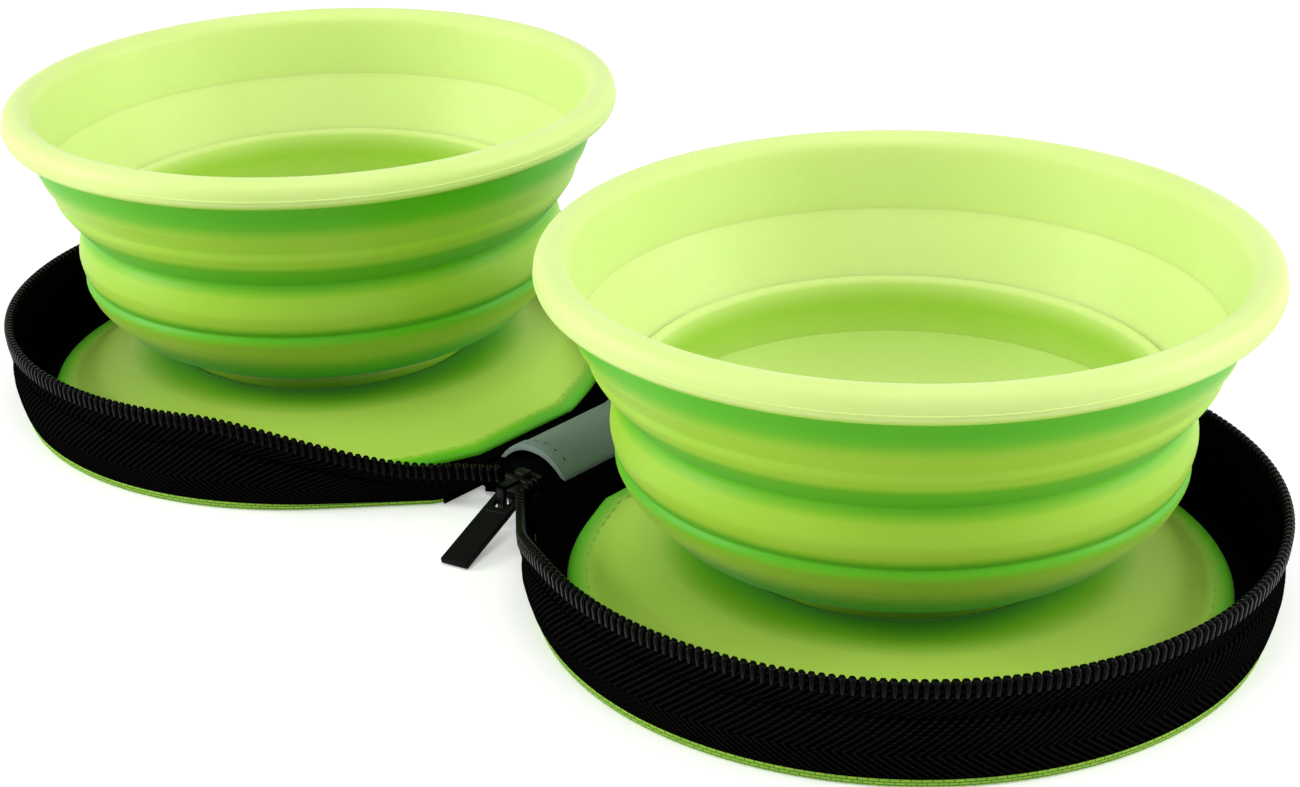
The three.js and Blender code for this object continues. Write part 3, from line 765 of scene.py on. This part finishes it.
def buildHinge():
    for side, turn in halfTurns.items():
        loops = [[(x, y, z) for x, z in hinge["panelSection"]]
                 for y in (-hinge["panelEnd"], 0, hinge["panelEnd"])]
        panel = addPiece(sweptLoops(loops, "capped"), f"{side}HingePanel", blackWeave, turn, 60)
        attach(panel, f"{side}_half")
        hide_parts(f"{side}_hinge_panel")
        slack = hinge["foldSection"]
        section = thickened(slack, hinge["foldThickness"])
        loops = [[(x, y, z) for x, z in section] for y in (-hinge["foldEnd"], 0, hinge["foldEnd"])]
        fold = addPiece(sweptLoops(loops, "capped"), f"{side}HingeFold", blackWeave, turn, 60)
        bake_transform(fold)
    end, hem, ease = hinge["tapeEnd"], hinge["hem"], hinge["hemStep"]
    steps = [(-end, 0.0), (-end + 0.15, 0.6), (-end + 0.4, 1.0), (-end + hem - ease, 1.0), (-end + hem, 0.5),
             (-end + hem + ease, 0.0), (0.0, 0.0)]
    steps += [(-y, share) for y, share in reversed(steps[:-1])]
    loops = [archSection(y, hinge["tapeEdge"], hinge["tapeCrown"], hinge["tapeCurve"], share * hinge["hemRise"],
                         hinge["tapeThickness"]) for y, share in steps]
    tape = addPiece(sweptLoops(loops, "capped"), "spineTape", spineRibbon, 0, 50)
    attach(tape, "spine")
    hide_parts("spine_tape")
    for name, sign in (("front", -1), ("rear", 1)):
        loops = [archSection(sign * y, hinge["tapeEdge"] - fall, hinge["gussetCrown"], hinge["gussetCurve"], 0,
                             hinge["gussetThickness"])
                 for y, fall in hinge["gussetRun"]]
        gusset = addPiece(sweptLoops(loops, "capped"), name + "Gusset", blackWeave, 0, 50)
        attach(gusset, "spine")
        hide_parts("spine_gusset_" + name)
    bm = bmesh.new()
    for sign in (-1, 1):
        for x in hinge["stitches"]:
            height = hinge["tapeEdge"] + hinge["tapeCrown"] * (1 - abs(x / hinge["tapeWidth"]) ** hinge["tapeCurve"])
            spot = Vector((x, sign * (end - hem - hinge["stitchIn"]), height + hinge["stitchLift"])) * mm
            slope = Matrix.Rotation(math.atan2(x, hinge["tapeWidth"]), 4, "Y")
            size = Matrix.Diagonal((*[part * mm for part in hinge["stitchSize"]], 1))
            bmesh.ops.create_uvsphere(bm, u_segments=8, v_segments=4, radius=1,
                                      matrix=Matrix.Translation(spot) @ slope @ size)
    stitches = addPiece(bm, "hemStitches", tapeThread, 0, 60)
    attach(stitches, "spine")


buildHinge()
print("hinge sewn")


# Zip slider with its bridge, then the link and the plain pull tab that hang from it
sliderLow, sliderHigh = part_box("zip_slider")
slider = {
    "plate": (6.6, 1.1, 7.4),
    "plateDrop": 0.6,        # the plates, below the bridge's middle
    "plateRound": 0.5,
    "platesIn": (0.55, 3.65),  # their middles, from the back
    "neck": (2.6, 2.4, 6.0),
    "neckRise": 1,
    "neckRound": 0.3,
    "bridge": (2.0, 1.1, 6.4),
    "bridgeRound": 0.35,
    "legApart": 2.65,        # each leg of the bridge, from its middle
    "legSunk": 0.3,          # into the outer plate
    "taper": 0.72,           # the width left at the closed end
}
pull = {
    "width": 6.0,
    "linkLength": 5.8,
    "linkWindow": 3.0,
    "linkBar": 1.2,
    "tabLength": 15.0,
    "tabOver": 1.6,          # how far the tab is moulded over the link
    "tabThickness": 1.3,
    "round": 0.3,
    "border": 0.7,
    "dish": 0.15,
    "slope": 0.26,           # radians
    "turn": 0.2,
}


def roundedBox(bm, size, centre, rounding):
    shape = Matrix.Translation(Vector(centre) * mm) @ Matrix.Diagonal((*[part * mm for part in size], 1))
    made = bmesh.ops.create_cube(bm, size=1, matrix=shape)["verts"]
    edges = list({edge for vert in made for edge in vert.link_edges})
    bmesh.ops.bevel(bm, geom=edges, offset=rounding * mm, offset_type="OFFSET", affect="EDGES", segments=3,
                    profile=0.5, material=-1, clamp_overlap=True)


def buildSlider():
    bm = bmesh.new()
    middleX, middleZ = (sliderLow.x + sliderHigh.x) / 2 / mm, (sliderLow.z + sliderHigh.z) / 2 / mm
    backY, frontY = sliderHigh.y / mm, sliderLow.y / mm
    innerY, outerY = [backY - inset for inset in slider["platesIn"]]
    width, depth, _ = slider["bridge"]
    for plateY in (innerY, outerY):
        roundedBox(bm, slider["plate"], (middleX, plateY, middleZ - slider["plateDrop"]), slider["plateRound"])
    for vert in bm.verts:
        low = min(1, max(0, (middleZ * mm - vert.co.z) / (slider["plate"][2] / 2 * mm)))
        vert.co.x = middleX * mm + (vert.co.x - middleX * mm) * (1 - (1 - slider["taper"]) * low)
    neckSpot = (middleX, (innerY + outerY) / 2, middleZ + slider["neckRise"])
    roundedBox(bm, slider["neck"], neckSpot, slider["neckRound"])
    face = outerY - slider["plate"][1] / 2
    roundedBox(bm, slider["bridge"], (middleX, frontY + depth / 2, middleZ), slider["bridgeRound"])
    leg = face - frontY + slider["legSunk"]
    for end in (-1, 1):
        legSpot = (middleX, face + slider["legSunk"] - leg / 2, middleZ + end * slider["legApart"])
        roundedBox(bm, (width, leg, depth), legSpot, slider["bridgeRound"])
    body = addPiece(bm, "zipSlider", paintedZinc, 0, 40)
    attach(body, "spine")
    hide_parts("zip_slider")
    return Vector((middleX, (face + frontY + depth) / 2, middleZ))


def buildPull(pivot):
    hang = Matrix.Translation(pivot * mm) @ Matrix.Rotation(pull["turn"], 4, "Z")
    hang = hang @ Matrix.Rotation(pull["slope"], 4, "X")
    bar, length = pull["linkBar"], pull["linkLength"]
    bm = bmesh.new()
    sideBar = (pull["width"] - pull["linkWindow"]) / 2
    for sign in (-1, 1):
        roundedBox(bm, (sideBar, length + bar / 2, bar),
                   (sign * (pull["width"] - sideBar) / 2, (bar / 2 - length) / 2, 0), pull["round"])
    for y in (0, -length + bar / 2):
        roundedBox(bm, (pull["width"] - sideBar, bar, bar), (0, y, 0), pull["round"])
    bmesh.ops.transform(bm, matrix=hang, verts=bm.verts)
    link = addPiece(bm, "pullLink", paintedZinc, 0, 40)
    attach(link, "pull")
    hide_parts("pull_link")
    bm = bmesh.new()
    tabRun = pull["tabLength"] + pull["tabOver"]
    roundedBox(bm, (pull["width"], tabRun, pull["tabThickness"]),
               (0, pull["tabOver"] - length - tabRun / 2, 0), pull["round"])
    flats = [face for face in bm.faces if abs(face.normal.z) > 0.99]
    bmesh.ops.inset_region(bm, faces=flats, thickness=pull["border"] * mm, depth=-pull["dish"] * mm)
    bmesh.ops.transform(bm, matrix=hang, verts=bm.verts)
    tab = addPiece(bm, "pullTab", pullRubber, 0, 40)
    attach(tab, "pull")
    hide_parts("pull_tab")


buildPull(buildSlider())
print("slider and pull hung")


# Floor, light and surroundings
# The floor's glow and a white world show only where they are seen, the world lights the object at its own strength
studio = {"floor": "#F4F4F2", "floorSize": 6, "glow": 0.3, "world": 0.4}
lamps = {  # metres and watts
    "above": {"place": (0.3, -0.35, 1.1), "size": 0.7, "power": 5.5},
    "right": {"place": (0.85, 0.6, 0.4), "size": 0.6, "power": 7},
    "left": {"place": (-0.7, -0.75, 0.4), "size": 0.6, "power": 7.3},
}


def seenStrength(tree, unseen, seen):
    path = addNode(tree, "LightPath")
    direct = path.outputs["Is Camera Ray"]
    for kind in ("Is Glossy Ray", "Is Transmission Ray"):
        direct = addNode(tree, "Math", {0: direct, 1: path.outputs[kind]}, operation="MAXIMUM").outputs[0]
    return addNode(tree, "MapRange", {"Value": direct, "To Min": unseen, "To Max": seen}).outputs[0]


def buildStudio():
    paper, tree, shader = startMaterial("paleFloor", studio["floor"], {
        "Roughness": 0.9, "Specular IOR Level": 0.1, "Emission Color": (1, 1, 1, 1)})
    tree.links.new(seenStrength(tree, 0, studio["glow"]), shader.inputs["Emission Strength"])
    bm = bmesh.new()
    bmesh.ops.create_grid(bm, x_segments=1, y_segments=1, size=studio["floorSize"])
    addPiece(bm, "floor", paper)
    world = bpy.data.worlds.new("studio")
    bpy.context.scene.world = world
    world.use_nodes = True
    back = world.node_tree.nodes["Background"]
    back.inputs["Color"].default_value = (1, 1, 1, 1)
    world.node_tree.links.new(seenStrength(world.node_tree, studio["world"], 1), back.inputs["Strength"])


def hangLamps():
    for name, lamp in lamps.items():
        data = bpy.data.lights.new(name, "AREA")
        data.size = lamp["size"]
        data.energy = lamp["power"]
        light = bpy.data.objects.new(name, data)
        light.location = lamp["place"]
        light.rotation_euler = (-Vector(lamp["place"])).to_track_quat("-Z", "Y").to_euler()
        bpy.context.collection.objects.link(light)


buildStudio()
hangLamps()
bpy.context.scene.view_settings.view_transform = "Standard"
print("studio lit")
